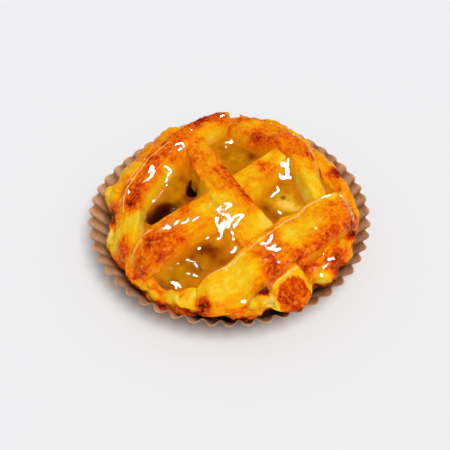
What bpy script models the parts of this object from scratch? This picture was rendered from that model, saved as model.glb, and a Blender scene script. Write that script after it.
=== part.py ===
"""Apple tartlet: a shortcrust shell with an apple filling under five pastry strips, in a fluted paper case.

The case stands on z = 0 with its axis on z, and the pastry sits in it a little off its centre.
"""

import math

import bmesh
import bpy
from mathutils import Vector, noise

# The paper case
CASE_BASE_RADIUS = 0.046
CASE_RIM_RADIUS = 0.060
CASE_HEIGHT = 0.016
PAPER_THICKNESS = 0.0004
FLUTE_COUNT = 52
FLUTE_DEPTH = 0.0028
POINTS_PER_FLUTE = 6
WALL_ROWS = 3
# Where the rim is pressed in: angle in degrees, half width in degrees, change of radius
CASE_BENDS = ((140, 22, -0.0035), (42, 22, -0.0013))

# The pastry: where it sits, and the dome that its strips make
PASTRY_CENTRE = Vector((0.0005, -0.0028))
DOME_CENTRE = Vector((0.0005, 0.0035))
DOME_HEIGHT = 0.0315
DOME_FALL = 0.0030
DOME_FALL_RADIUS = 0.050
EDGE_START_RADIUS = 0.042
EDGE_FALL_WIDTH = 0.012
EDGE_FALL = 0.0050
LOWEST_TOP = 0.0214
GAP = 0.0004

# The strips: x, y and width at points along each, tip to tip. A later strip lies over an earlier one.
STRIP_THICKNESS = 0.0048
STRIP_ROUNDING = 3.6
STRIP_END_LENGTH = 0.007
STRIP_SWELL = 0.06
STRIP_CUTS = (23, 5, 1)
CROSSING_RISE = (STRIP_THICKNESS + GAP) / 2
CROSSING_MARGIN = 0.0010
CROSSING_RAMP = 0.008
STRIPS = {
    "strip_middle": [
        (-0.0385, -0.0360, 0.0150), (-0.0305, -0.0300, 0.0175), (-0.0215, -0.0218, 0.0170),
        (-0.0118, -0.0138, 0.0165), (-0.0025, -0.0055, 0.0160), (0.0065, 0.0030, 0.0150),
        (0.0150, 0.0120, 0.0120), (0.0240, 0.0220, 0.0105),
    ],
    "strip_right": [
        (-0.0010, 0.0450, 0.0130), (0.0073, 0.0408, 0.0145), (0.0150, 0.0362, 0.0158),
        (0.0218, 0.0312, 0.0166), (0.0282, 0.0244, 0.0164), (0.0322, 0.0157, 0.0136),
        (0.0340, 0.0070, 0.0110), (0.0365, -0.0020, 0.0100), (0.0405, -0.0120, 0.0100),
    ],
    "strip_centre": [
        (-0.0150, 0.0350, 0.0120), (-0.0135, 0.0285, 0.0130), (-0.0105, 0.0180, 0.0145),
        (-0.0060, 0.0060, 0.0160), (-0.0005, -0.0060, 0.0180), (0.0055, -0.0180, 0.0185),
        (0.0120, -0.0290, 0.0185), (0.0190, -0.0395, 0.0180), (0.0265, -0.0505, 0.0175),
    ],
    "strip_left": [
        (-0.0405, -0.0205, 0.0110), (-0.0395, -0.0090, 0.0130), (-0.0360, 0.0030, 0.0125),
        (-0.0305, 0.0140, 0.0120), (-0.0236, 0.0236, 0.0118), (-0.0160, 0.0319, 0.0110),
        (-0.0078, 0.0385, 0.0100), (0.0000, 0.0454, 0.0085),
    ],
    "strip_front": [
        (-0.0140, -0.0520, 0.0100), (-0.0045, -0.0475, 0.0140), (0.0060, -0.0418, 0.0160),
        (0.0155, -0.0345, 0.0170), (0.0245, -0.0273, 0.0175), (0.0330, -0.0203, 0.0175),
        (0.0420, -0.0135, 0.0165), (0.0520, -0.0058, 0.0150),
    ],
}
PATH_SAMPLES = 12

# The shell: its turned profile as radius and height, from the underside round the rim to the floor inside
SHELL_STEPS = 96
SHELL_PROFILE = (
    (0.0405, 0.0010), (0.0435, 0.0032), (0.0468, 0.0080), (0.0494, 0.0122), (0.0514, 0.0160),
    (0.0523, 0.0195), (0.0516, 0.0228), (0.0496, 0.0250), (0.0466, 0.0258), (0.0440, 0.0230),
    (0.0418, 0.0155), (0.0388, 0.0080), (0.0368, 0.0050),
)
CRUMB_SIZE = 0.0075
CRUMB_DEPTH = 0.0011
CRUMB_START_HEIGHT = 0.0100
CRUMB_INNER_RADIUS = 0.0450
CASE_CLEARANCE_HEIGHT = 0.0030
RIM_GAP = 0.0008
RIM_MARGIN = 0.0030
# Lumps of dough that stick out of the rim: angle in degrees, half width in degrees, reach, rise
RIM_LUMPS = (
    (80, 24, 0.0008, 0.0034), (-5, 12, 0.0016, 0.0000), (20, 10, -0.0012, 0.0004),
    (42, 12, -0.0008, 0.0000), (66, 7, 0.0006, 0.0006), (122, 6, 0.0016, 0.0008),
    (142, 14, -0.0010, -0.0006), (174, 5, 0.0018, -0.0010), (187, 6, -0.0024, -0.0005),
    (196, 5, 0.0016, -0.0020), (206, 4, 0.0020, -0.0035), (221, 8, 0.0014, -0.0030),
    (250, 9, 0.0016, -0.0040), (275, 8, 0.0016, -0.0045), (314, 8, 0.0018, -0.0025),
    (334, 8, 0.0018, -0.0015),
)

# The filling: a turned body whose top is raised by pieces of apple and dips into hollows beside them
FILLING_STEPS = 72
FILLING_SINK = 0.0062
FILLING_RADIUS = 0.0425
FILLING_RINGS = 13
FILLING_EDGE_HEIGHT = 0.0195
FILLING_EDGE_WIDTH = 0.008
FILLING_SIDE = ((0.0408, 0.0150), (0.0378, 0.0080), (0.0360, 0.0056))
FILLING_GRAIN = 0.0060
FILLING_RELIEF = 0.0007
# Apple pieces that show: x, y, half length, half width, turn in degrees, rise
APPLE_PIECES = (
    (-0.0260, 0.0030, 0.0125, 0.0062, 62, 0.0030),
    (0.0040, 0.0240, 0.0085, 0.0050, -30, 0.0018),
    (0.0230, -0.0040, 0.0080, 0.0045, -22, 0.0022),
    (0.0270, 0.0080, 0.0060, 0.0040, 70, 0.0012),
    (-0.0180, -0.0400, 0.0080, 0.0040, 18, 0.0018),
    (-0.0080, -0.0350, 0.0060, 0.0040, -35, 0.0014),
    (0.0350, -0.0370, 0.0050, 0.0035, 40, 0.0014),
)
# Hollows beside them: x, y, radius, depth
HOLLOWS = (
    (-0.0155, 0.0040, 0.0050, 0.0035),
    (-0.0290, -0.0110, 0.0060, 0.0040),
    (-0.0210, -0.0060, 0.0060, 0.0035),
    (0.0310, -0.0330, 0.0040, 0.0020),
)

STRIP_COLOURS = {
    "strip_middle": (0.76, 0.36, 0.04, 1.0),
    "strip_right": (0.69, 0.28, 0.03, 1.0),
    "strip_centre": (0.78, 0.37, 0.05, 1.0),
    "strip_left": (0.66, 0.23, 0.03, 1.0),
    "strip_front": (0.80, 0.42, 0.05, 1.0),
}
CRUST_COLOUR = (0.76, 0.42, 0.06, 1.0)
FILLING_COLOUR = (0.50, 0.25, 0.025, 1.0)
PAPER_COLOUR = (0.42, 0.25, 0.15, 1.0)


def clear_scene():
    for obj in list(bpy.data.objects):
        bpy.data.objects.remove(obj, do_unlink=True)


def material(name, colour, roughness):
    made = bpy.data.materials.new(name)
    made.use_nodes = True
    shader = made.node_tree.nodes["Principled BSDF"]
    shader.inputs["Base Color"].default_value = colour
    shader.inputs["Roughness"].default_value = roughness
    shader.inputs["Metallic"].default_value = 0.0
    return made


def add_object(name, mesh, finish, collection):
    obj = bpy.data.objects.new(name, mesh)
    mesh.materials.append(finish)
    mesh.shade_smooth()
    mesh.set_sharp_from_angle(angle=math.radians(50))
    collection.objects.link(obj)
    return obj


def smooth_step(share):
    share = min(1.0, max(0.0, share))
    return share * share * (3 - 2 * share)


def smooth_path(points):
    """Points of x, y and half width along a Catmull-Rom curve through the given points."""
    ends = [points[0].lerp(points[1], -1), *points, points[-1].lerp(points[-2], -1)]
    path = []
    for before, start, end, after in zip(ends, ends[1:], ends[2:], ends[3:]):
        for step in range(PATH_SAMPLES):
            t = step / PATH_SAMPLES
            path.append(
                0.5 * (2 * start + (end - before) * t
                       + (2 * before - 5 * start + 4 * end - after) * t**2
                       + (3 * start - before - 3 * end + after) * t**3)
            )
    return [*path, points[-1].copy()]


PATHS = {
    name: smooth_path([Vector((x, y, width / 2)) for x, y, width in points])
    for name, points in STRIPS.items()
}
ORDER = list(STRIPS)


def beyond_strip(point, name):
    """How far a point lies outside a strip in plan, negative over the strip."""
    nearest = math.inf
    for start, end in zip(PATHS[name], PATHS[name][1:]):
        along = (end - start).xy
        share = min(1.0, max(0.0, (point - start.xy).dot(along) / along.length_squared))
        on_line = start.lerp(end, share)
        nearest = min(nearest, (point - on_line.xy).length - on_line.z)
    return nearest


def dome_height(point):
    """Height of the strips' tops where none crosses another."""
    radius = (point - DOME_CENTRE).length
    edge = max(0.0, radius - EDGE_START_RADIUS) / EDGE_FALL_WIDTH
    height = DOME_HEIGHT - DOME_FALL * (radius / DOME_FALL_RADIUS) ** 2 - EDGE_FALL * edge**2
    return max(LOWEST_TOP, height)


def strip_top(name, point):
    """Height of a strip's top: it rises over the strips below it and dips under those above it."""
    height = dome_height(point)
    place = ORDER.index(name)
    for other in ORDER:
        if other == name:
            continue
        weight = 1 - smooth_step((beyond_strip(point, other) - CROSSING_MARGIN) / CROSSING_RAMP)
        height += weight * CROSSING_RISE * (1 if ORDER.index(other) < place else -1)
    return height


def lowest_underside(point, margin):
    """Height of the lowest strip above a point, or infinity where there is none."""
    lowest = math.inf
    for name in ORDER:
        if beyond_strip(point, name) < margin:
            lowest = min(lowest, strip_top(name, point) - STRIP_THICKNESS)
    return lowest


def point_along(path, distance):
    """Point, direction and half width at a distance along a path."""
    for start, end in zip(path, path[1:]):
        length = (end - start).xy.length
        if distance <= length:
            break
        distance -= length
    here = start.lerp(end, distance / length)
    return here.xy, (end - start).xy.normalized(), here.z


def rounded(along, across, up):
    """Moves a point of a box, -1 to 1 each way, onto the rounded form inside it."""
    longest = max(abs(along), abs(across), abs(up))
    norm = sum(abs(c) ** STRIP_ROUNDING for c in (along, across, up)) ** (1 / STRIP_ROUNDING)
    return along * longest / norm, across * longest / norm, up * longest / norm


def subdivided_box(cuts):
    """A box from -1 to 1 each way, cut across each axis."""
    bm = bmesh.new()
    bmesh.ops.create_cube(bm, size=2)
    for axis, count in enumerate(cuts):
        edges = [
            e for e in bm.edges
            if abs(e.verts[0].co[axis] - e.verts[1].co[axis]) > 1
            and all(abs(e.verts[0].co[i] - e.verts[1].co[i]) < 1e-6 for i in range(3) if i != axis)
        ]
        bmesh.ops.subdivide_edges(bm, edges=edges, cuts=count, use_grid_fill=True)
    return bm


def make_strip(name, finish, collection):
    """A flat strip of dough with rounded edges and ends, laid along its line over the dome."""
    path = PATHS[name]
    half_length = sum((b - a).xy.length for a, b in zip(path, path[1:])) / 2
    straight = half_length - STRIP_END_LENGTH
    bm = subdivided_box(STRIP_CUTS)
    for vert in bm.verts:
        reach = abs(vert.co.x) * half_length
        into_end = max(0.0, reach - straight) / STRIP_END_LENGTH
        end_share, across, up = rounded(into_end, vert.co.y, vert.co.z)
        from_middle = min(reach, straight) + end_share * STRIP_END_LENGTH
        distance = half_length + math.copysign(from_middle, vert.co.x)
        centre, direction, half_width = point_along(path, distance)
        narrowing = STRIP_SWELL * max(0.0, noise.noise(Vector((distance / 0.012, ORDER.index(name), 0.5))))
        spot = centre + Vector((-direction.y, direction.x)) * across * half_width * (1 - narrowing)
        top = strip_top(name, spot)
        vert.co = (spot.x, spot.y, top - STRIP_THICKNESS / 2 * (1 - up))
    mesh = bpy.data.meshes.new(name)
    bm.to_mesh(mesh)
    bm.free()
    return add_object(name, mesh, finish, collection)


def turned(name, profile, centre, steps):
    """A profile of radii and heights, turned round a vertical axis."""
    bm = bmesh.new()
    verts = [bm.verts.new((centre.x + radius, centre.y, height)) for radius, height in profile]
    edges = [bm.edges.new(pair) for pair in zip(verts, verts[1:])]
    axis_point = (centre.x, centre.y, 0.0)
    bmesh.ops.spin(bm, geom=verts + edges, cent=axis_point, axis=(0, 0, 1), angle=math.tau, steps=steps)
    bmesh.ops.remove_doubles(bm, verts=bm.verts, dist=1e-6)
    bmesh.ops.recalc_face_normals(bm, faces=bm.faces)
    mesh = bpy.data.meshes.new(name)
    bm.to_mesh(mesh)
    bm.free()
    return mesh


def nearness(point, centre, half_width):
    """How near a point's direction from the axis is to an angle in degrees, from 0 to 1."""
    apart = (math.degrees(math.atan2(point.y, point.x)) - centre + 180) % 360 - 180
    return math.exp(-((apart / half_width) ** 2))


def rim_lump(flat, height):
    """How far the rim's lumps push a point out and up."""
    out = up = 0.0
    share = smooth_step((height - CRUMB_START_HEIGHT) / 0.006)
    for centre, half_width, reach, rise in RIM_LUMPS:
        weight = nearness(flat, centre, half_width)
        out += reach * weight * share
        up += rise * weight * share
    return out, up


def case_bend(point):
    """How far the case's rim is pressed in beside a point."""
    return sum(change * nearness(point, centre, half_width) for centre, half_width, change in CASE_BENDS)


def case_inner_radius(point, height):
    """Radius that the flutes' inner folds leave free beside a point at a height."""
    share = min(1.0, max(0.0, height / CASE_HEIGHT))
    outer = CASE_BASE_RADIUS + (CASE_RIM_RADIUS - CASE_BASE_RADIUS + case_bend(point)) * share
    return outer - FLUTE_DEPTH * share - 2 * PAPER_THICKNESS


def make_shell(finish, collection):
    """The shortcrust shell: a turned dish with a crumbly, lumpy rim."""
    profile = [(0.0, SHELL_PROFILE[0][1]), *SHELL_PROFILE, (0.0, SHELL_PROFILE[-1][1])]
    mesh = turned("pastry_shell", profile, PASTRY_CENTRE, SHELL_STEPS)
    for vert in mesh.vertices:
        if vert.co.z < CRUMB_START_HEIGHT:
            continue
        flat = vert.co.xy - PASTRY_CENTRE
        moved = vert.co.xy
        height = vert.co.z
        if flat.length > CRUMB_INNER_RADIUS:
            out, up = rim_lump(flat, height)
            crumb = CRUMB_DEPTH * noise.fractal(vert.co / CRUMB_SIZE, 0.6, 2.0, 2)
            moved += flat.normalized() * (out + crumb)
            height += up + crumb
        height = min(height, lowest_underside(moved, RIM_MARGIN) - RIM_GAP)
        limit = case_inner_radius(moved, height) - RIM_GAP
        if moved.length > limit and height < CASE_HEIGHT + CASE_CLEARANCE_HEIGHT:
            moved *= limit / moved.length
        vert.co = (moved.x, moved.y, height)
    return add_object("pastry_shell", mesh, finish, collection)


def apple_relief(point):
    """Height that the apple pieces add to the filling and the hollows take from it."""
    relief = 0.0
    for x, y, half_length, half_width, turn, rise in APPLE_PIECES:
        offset = point - Vector((x, y))
        turn = math.radians(turn)
        along = offset.x * math.cos(turn) + offset.y * math.sin(turn)
        across = offset.y * math.cos(turn) - offset.x * math.sin(turn)
        reach = math.hypot(along / half_length, across / half_width)
        relief = max(relief, rise * (1 - smooth_step(reach - 0.35)))
    for x, y, radius, depth in HOLLOWS:
        relief -= depth * (1 - smooth_step((point - Vector((x, y))).length / radius - 0.3))
    return relief


def make_filling(finish, collection):
    """The apple filling: it fills the shell and stands a little below the strips between them."""
    rings = [FILLING_RADIUS * (1 - i / FILLING_RINGS) for i in range(FILLING_RINGS + 1)]
    side = [(0.0, FILLING_SIDE[-1][1]), *reversed(FILLING_SIDE)]
    top = [(radius, DOME_HEIGHT) for radius in rings]
    mesh = turned("apple_filling", side + top, PASTRY_CENTRE, FILLING_STEPS)
    for vert in mesh.vertices:
        if vert.co.z < FILLING_EDGE_HEIGHT:
            continue
        spot = vert.co.xy
        grain = FILLING_RELIEF * noise.noise(Vector((spot.x, spot.y, 0.0)) / FILLING_GRAIN)
        level = dome_height(spot) - FILLING_SINK + grain + apple_relief(spot)
        inward = (FILLING_RADIUS - (spot - PASTRY_CENTRE).length) / FILLING_EDGE_WIDTH
        level = min(level, FILLING_EDGE_HEIGHT + (DOME_HEIGHT - FILLING_EDGE_HEIGHT) * smooth_step(inward))
        vert.co.z = min(level, lowest_underside(spot, 0.0020) - GAP)
    return add_object("apple_filling", mesh, finish, collection)


def make_case(finish, collection):
    """The paper case: a flat disc with a fluted wall that flares to the rim."""
    profile = [(0.0, 0.0)]
    for row in range(WALL_ROWS + 1):
        share = row / WALL_ROWS
        radius = CASE_BASE_RADIUS + (CASE_RIM_RADIUS - CASE_BASE_RADIUS) * share
        profile.append((radius, CASE_HEIGHT * share))
    mesh = turned("paper_case", profile, Vector((0.0, 0.0)), FLUTE_COUNT * POINTS_PER_FLUTE)
    for vert in mesh.vertices:
        flute = 0.5 - 0.5 * math.cos(FLUTE_COUNT * math.atan2(vert.co.y, vert.co.x))
        radius = vert.co.xy.length
        if radius > 0:
            share = vert.co.z / CASE_HEIGHT
            vert.co.xy *= 1 + (case_bend(vert.co) - FLUTE_DEPTH * flute) * share / radius
    case = add_object("paper_case", mesh, finish, collection)
    paper = case.modifiers.new("paper", "SOLIDIFY")
    paper.thickness = PAPER_THICKNESS
    paper.offset = -1.0
    return case


def main():
    clear_scene()
    tartlet = bpy.data.collections.new("apple_tartlet")
    bpy.context.scene.collection.children.link(tartlet)
    make_case(material("paper", PAPER_COLOUR, 0.8), tartlet)
    make_shell(material("crust", CRUST_COLOUR, 0.55), tartlet)
    make_filling(material("apple", FILLING_COLOUR, 0.2), tartlet)
    for name in ORDER:
        make_strip(name, material(name + "_pastry", STRIP_COLOURS[name], 0.35), tartlet)


main()
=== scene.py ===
"""The looks of the apple tartlet: glazed pastry strips over apple in jelly, a crumbly shell and a paper case.

Lengths are in millimetres until a mesh is made, and places are in the row's frame.
"""

import itertools
import math

import bpy
import numpy as np
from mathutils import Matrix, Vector


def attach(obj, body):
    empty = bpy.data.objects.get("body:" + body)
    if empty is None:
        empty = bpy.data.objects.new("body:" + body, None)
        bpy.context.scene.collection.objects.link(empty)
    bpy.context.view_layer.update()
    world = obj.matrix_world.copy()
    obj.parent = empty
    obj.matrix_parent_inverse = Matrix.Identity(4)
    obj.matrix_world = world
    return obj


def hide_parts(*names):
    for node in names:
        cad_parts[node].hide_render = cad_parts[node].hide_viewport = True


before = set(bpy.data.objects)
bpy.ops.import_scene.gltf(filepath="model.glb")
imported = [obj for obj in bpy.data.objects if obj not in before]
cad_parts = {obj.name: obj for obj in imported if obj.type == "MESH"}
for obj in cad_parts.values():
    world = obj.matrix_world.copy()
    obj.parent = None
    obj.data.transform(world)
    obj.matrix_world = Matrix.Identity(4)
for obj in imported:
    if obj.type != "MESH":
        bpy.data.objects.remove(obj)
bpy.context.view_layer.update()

MM = 0.001
SMALLEST = 1e-9

# The camera: where the photograph was taken from, and its lens
CAMERA_PLACE = (-1.714, -237.85, 270.80)
CAMERA_ELEVATION = 48.0
SENSOR_WIDTH = 36.0
LENS = 65.36
CLIP_START = 0.01

# The lights, in metres: an even sky, a soft sun, and a lamp that only shows as highlights in the glaze
WORLD_STRENGTH = 0.40
WORLD_REFLECTED = 0.02
KEY_STRENGTH = 2.55
KEY_ANGLE = 30.0
KEY_PLACE = (0.20, -0.35, 0.9)
LAMP_SIZE = 0.05
LAMP_POWER = 1.8
LAMP_PLACE = (0.0, -0.06, 0.70)
LIGHT_AIM = (0.0, 0.0, 0.02)
FLOOR_SIZE = 3.0

# Colours, from 0 to 255; in a ramp each stands after its place from 0 to 1, and in a tint after its strength
BLACK = (0, 0, 0)
WHITE = (255, 255, 255)
FLOOR_COLOUR = (226, 226, 228)
CRUST_COLOURS = (
    (0.00, (242, 202, 84)), (0.14, (237, 190, 28)), (0.30, (238, 170, 13)), (0.46, (236, 136, 8)),
    (0.60, (226, 96, 6)), (0.74, (194, 56, 5)), (0.88, (150, 30, 4)), (1.00, (96, 18, 3)),
)
FLECK_TINT = (0.35, (252, 176, 50))
# The strips' feet in the jelly: a soaked orange, darkened as painted shade where they meet the filling
FOOT_SOAK_AND_SHADE_TINT = (0.7, (216, 124, 10))
# Painted highlight: the pale tint along the glaze ridges at the strips' edges
EDGE_HIGHLIGHT_TINT = (0.7, (255, 214, 132))
FILLING_COLOURS = (
    (0.00, (90, 28, 3)), (0.25, (136, 60, 4)), (0.45, (170, 98, 5)), (0.62, (188, 122, 6)),
    (0.85, (220, 162, 22)), (1.00, (236, 196, 80)),
)
# Jelly beside the strips: its colour there, darkened as painted shade along the strips' sides
FILLET_AND_SHADE_TINT = (0.75, (206, 118, 8))
# Hollows in the filling: dark syrup, and painted shade that deepens with their depth
HOLLOW_SYRUP_AND_SHADE_TINT = (0.30, (50, 12, 2))
# Kraft paper: its own colour at 0, and painted shade where a pleat is folded in at 1
PAPER_AND_FOLD_SHADE_COLOURS = ((0.0, (208, 163, 123)), (1.0, (152, 103, 65)))
GREASE_TINT = (0.5, (130, 82, 42))

# Noises in the materials: size, detail, roughness
CRUST_MOTTLE = (1.9, 3.0, 0.65)
CRUST_SPECKLE = (0.6, 2.0, 0.6)
CRUST_FLECKS = (1.4, 3.0, 0.6)
CRUST_GRAIN = (1.1, 4.0, 0.65)
JELLY_MOTTLE = (2.5, 3.0, 0.6)
JELLY_GRAIN = (2.0, 2.0, 0.5)
PAPER_MOTTLE = (9.0, 3.0, 0.6)
PAPER_GREASE = (14.0, 3.0, 0.6)
PAPER_GRAIN = (0.5, 3.0, 0.7)
RIPPLES = (4.0, 1.0, 0.4)
FRAYING = (1.3, 1.0, 0.5)

# How strong they are, and the depth of the grains and ripples
CRUST_MOTTLE_STRENGTH = 0.28
CRUST_SPECKLE_STRENGTH = 0.11
JELLY_MOTTLE_STRENGTH = 0.10
PAPER_MOTTLE_STRENGTH = 0.5
FRAYING_STRENGTH = 0.24
CRUST_GRAIN_DEPTH = 0.5
JELLY_GRAIN_DEPTH = 0.3
PAPER_GRAIN_DEPTH = 0.05
RIPPLE_DEPTH = 0.22
# Where flecks, grease and shine start in their noises, and where they are full
FLECK_RANGE = (0.52, 0.70)
GREASE_RANGE = (0.54, 0.64)
SHINE_RANGE = (0.53, 0.57)
# How soon brown crust is mottled, how much glaze is on it, and how the glaze refracts and turns to the lamp
PATCHY_GAIN = 1.6
STRIP_COAT = 0.6
SHELL_COAT = 0.4
GLAZE_REFRACTION = 1.33
SHINE_PULL = 60.0

# The paper case. SIDE_FLUTES is how deep its flutes are at the sides, against 1 in front.
CASE_BASE_RADIUS = 46.0
CASE_RIM_RADIUS = 60.0
CASE_HEIGHT = 16.0
RIM_UNEVENNESS = 0.5
PAPER_THICKNESS = 0.25
FLUTE_COUNT = 52
FLUTE_DEPTH = 2.8
SIDE_FLUTES = 0.65
# Where the rim is pressed in: angle in degrees, half width in degrees, change of radius
CASE_BENDS = ((140, 22, -3.5), (42, 22, -1.3))
# Rings of the flat base, as shares of its radius
BASE_RINGS = (0.02, 0.4, 0.8)
CASE_ROWS = 26
CASE_POINTS_PER_FLUTE = 16
# Size and height of the paper's wrinkles
PAPER_WRINKLES = ((3.0, 0.16), (1.4, 0.10))

# The pastry: where it sits, and the dome that its strips make
PASTRY_CENTRE = np.array((0.5, -2.8))
DOME_CENTRE = np.array((0.5, 3.5))
DOME_HEIGHT = 31.5
DOME_FALL = 3.0
DOME_FALL_RADIUS = 50.0
EDGE_START_RADIUS = 42.0
EDGE_FALL_WIDTH = 12.0
EDGE_FALL = 5.0
LOWEST_TOP = 21.4

# The strips: how thick and domed they are, and how far their soft sides reach out, round off and run down
STRIP_THICKNESS = 5.2
STRIP_CROWN = 0.5
STRIP_SHOULDER = 2.4
LEAST_SHOULDER = 0.35
STRIP_FOOT = 2.1
FOOT_DEPTH = 3.5
FOOT_FADE = (43.0, 5.0)
LOWEST_FOOT = 19.0
SOFT_LENGTH = 14.0
END_SOFTNESS = 0.4
CORNER_ROUNDING = 0.7
WOBBLE = 0.05
WOBBLE_LENGTH = 7.0
# Each strip's two ends: length that narrows, how square, drop
END_FORMS = {
    "strip_middle": ((7.0, 2.8, 1.6), (4.0, 2.8, 1.6)),
    "strip_right": ((7.0, 2.8, 1.6), (7.0, 2.8, 1.6)),
    "strip_centre": ((7.0, 2.8, 1.6), (8.0, 2.1, 1.8)),
    "strip_left": ((14.0, 2.4, 3.6), (4.0, 2.4, 0.2)),
    "strip_front": ((9.0, 2.4, 2.6), (8.0, 2.4, 1.6)),
}
# How many points a strip has along and across, and how they crowd towards its ends and edges
STRIP_RINGS = 280
UPPER_POINTS = 88
LOWER_POINTS = 14
RING_CROWDING = 0.7
EDGE_CROWDING = 1.5
LOWER_SPAN = 0.98
NARROWEST_END = 0.9999
# How far each strip rises over those below it; those dip by a share of that. A ramp is its start and width.
CROSSING_RISES = {"strip_right": 1.2, "strip_centre": 0.7, "strip_left": 1.4, "strip_front": 2.4}
CROSSING_DIP = 0.35
CROSSING_RAMP = (1.0, 8.0)
# x, y and width at points along each strip, tip to tip. A later strip lies over an earlier one.
STRIPS = {
    "strip_middle": [
        (-38.5, -36, 15), (-30.5, -30, 17.5), (-21.5, -21.8, 17), (-11.8, -13.8, 16.5), (-2.5, -5.5, 16),
        (6.5, 3, 15), (14.2, 11.8, 12.4), (20.5, 19, 10.8), (24.5, 24, 9.5),
    ],
    "strip_right": [
        (-1, 45, 13), (7.3, 40.8, 14.5), (15, 36.2, 15.8), (21.8, 31.2, 16.6), (28.2, 24.4, 16.4),
        (32.2, 15.7, 13.6), (34, 7, 11), (36.5, -2, 10), (40.5, -12, 10),
    ],
    "strip_centre": [
        (-18, 35, 12), (-15.5, 29.5, 12.8), (-11.2, 18, 14.6), (-5.7, 6, 15.6), (-0.5, -6, 18),
        (6.4, -18, 20), (9.7, -23.6, 21.4), (12.2, -29, 19.4), (19, -39.5, 18), (27.4, -52, 16.6),
    ],
    "strip_left": [
        (-39.5, -32.5, 9.5), (-40.6, -21.5, 12.8), (-40.6, -9, 12.6), (-36.8, 3.4, 13.8),
        (-31.3, 14.6, 13.6), (-24.5, 24.6, 13.4), (-16.8, 33.2, 12.6), (-8.3, 40.2, 11.4), (1.2, 47, 9),
    ],
    "strip_front": [
        (-14, -50.6, 11), (-4.3, -48.1, 14.2), (4.6, -44.4, 16.4), (15.3, -35.3, 19), (24.6, -26.9, 20.2),
        (33.8, -19.3, 19.6), (42, -12.9, 17.6), (52, -5.8, 14.8),
    ],
}
ORDER = list(STRIPS)
PATH_SAMPLES = 12
# How soft each strip's left and right sides are
EDGE_SOFTNESS = {
    "strip_middle": (1.0, 1.4),
    "strip_right": (1.5, 1.6),
    "strip_centre": (1.2, 1.5),
    "strip_left": (0.35, 1.9),
    "strip_front": (0.6, 0.4),
}
# Where an edge is crisper or softer: by radius, the x, y and change of round marks
EDGE_MARKS = {
    4.5: [(-15.5, 12, -0.9)],
    5: [(-14.8, 4.5, -1.2), (4, -53, 0.8), (-16, -50, 0.8)],
    6: [(-34, -15, -1.2), (-10, -14, 0.8), (14, -20, 0.6)],
    7: [(-8, -58, 1)],
    8: [(-43, -26, 1)],
}
# Relief of the strips: waves as size and height, then grain, blisters, layers of the cut sides and edge lines
STRIP_WAVES = ((13.0, 0.40), (5.0, 0.20))
GRAIN_LENGTH = 9.0
GRAIN_WIDTH = 1.3
GRAIN_HEIGHT = 0.10
BLISTER_SIZE = 2.4
BLISTER_HEIGHT = 0.55
LAYER_SPACING = 1.4
LAYER_HEIGHT = 0.06
EDGE_LINE_HEIGHT = 0.16
# Start and width of soft ramps: three over how far a side has fallen, one over nearness to an edge line
FLANK_START = (0.08, 0.25)
FOOT_START = (0.3, 0.5)
EDGE_LINE_FADE = (0.4, 0.3)
EDGE_LINE_START = (0.1, 0.6)
# How much browning is patchy, blistered and streaked, how much paler the cut sides are, and the least of it
PATCHY_SIZE = 4.5
PATCHY_BROWNING = 0.08
BLISTER_BROWNING = 0.15
STREAK_LENGTH = 3.6
STREAK_WIDTH = 0.9
STREAK_BROWNING = 0.10
FLANK_PALENESS = 0.16
PALEST = 0.08
# How much browner some strips are towards their left side
SIDE_BROWNING = {"strip_left": 0.26, "strip_right": -0.10, "strip_centre": 0.08}
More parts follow.
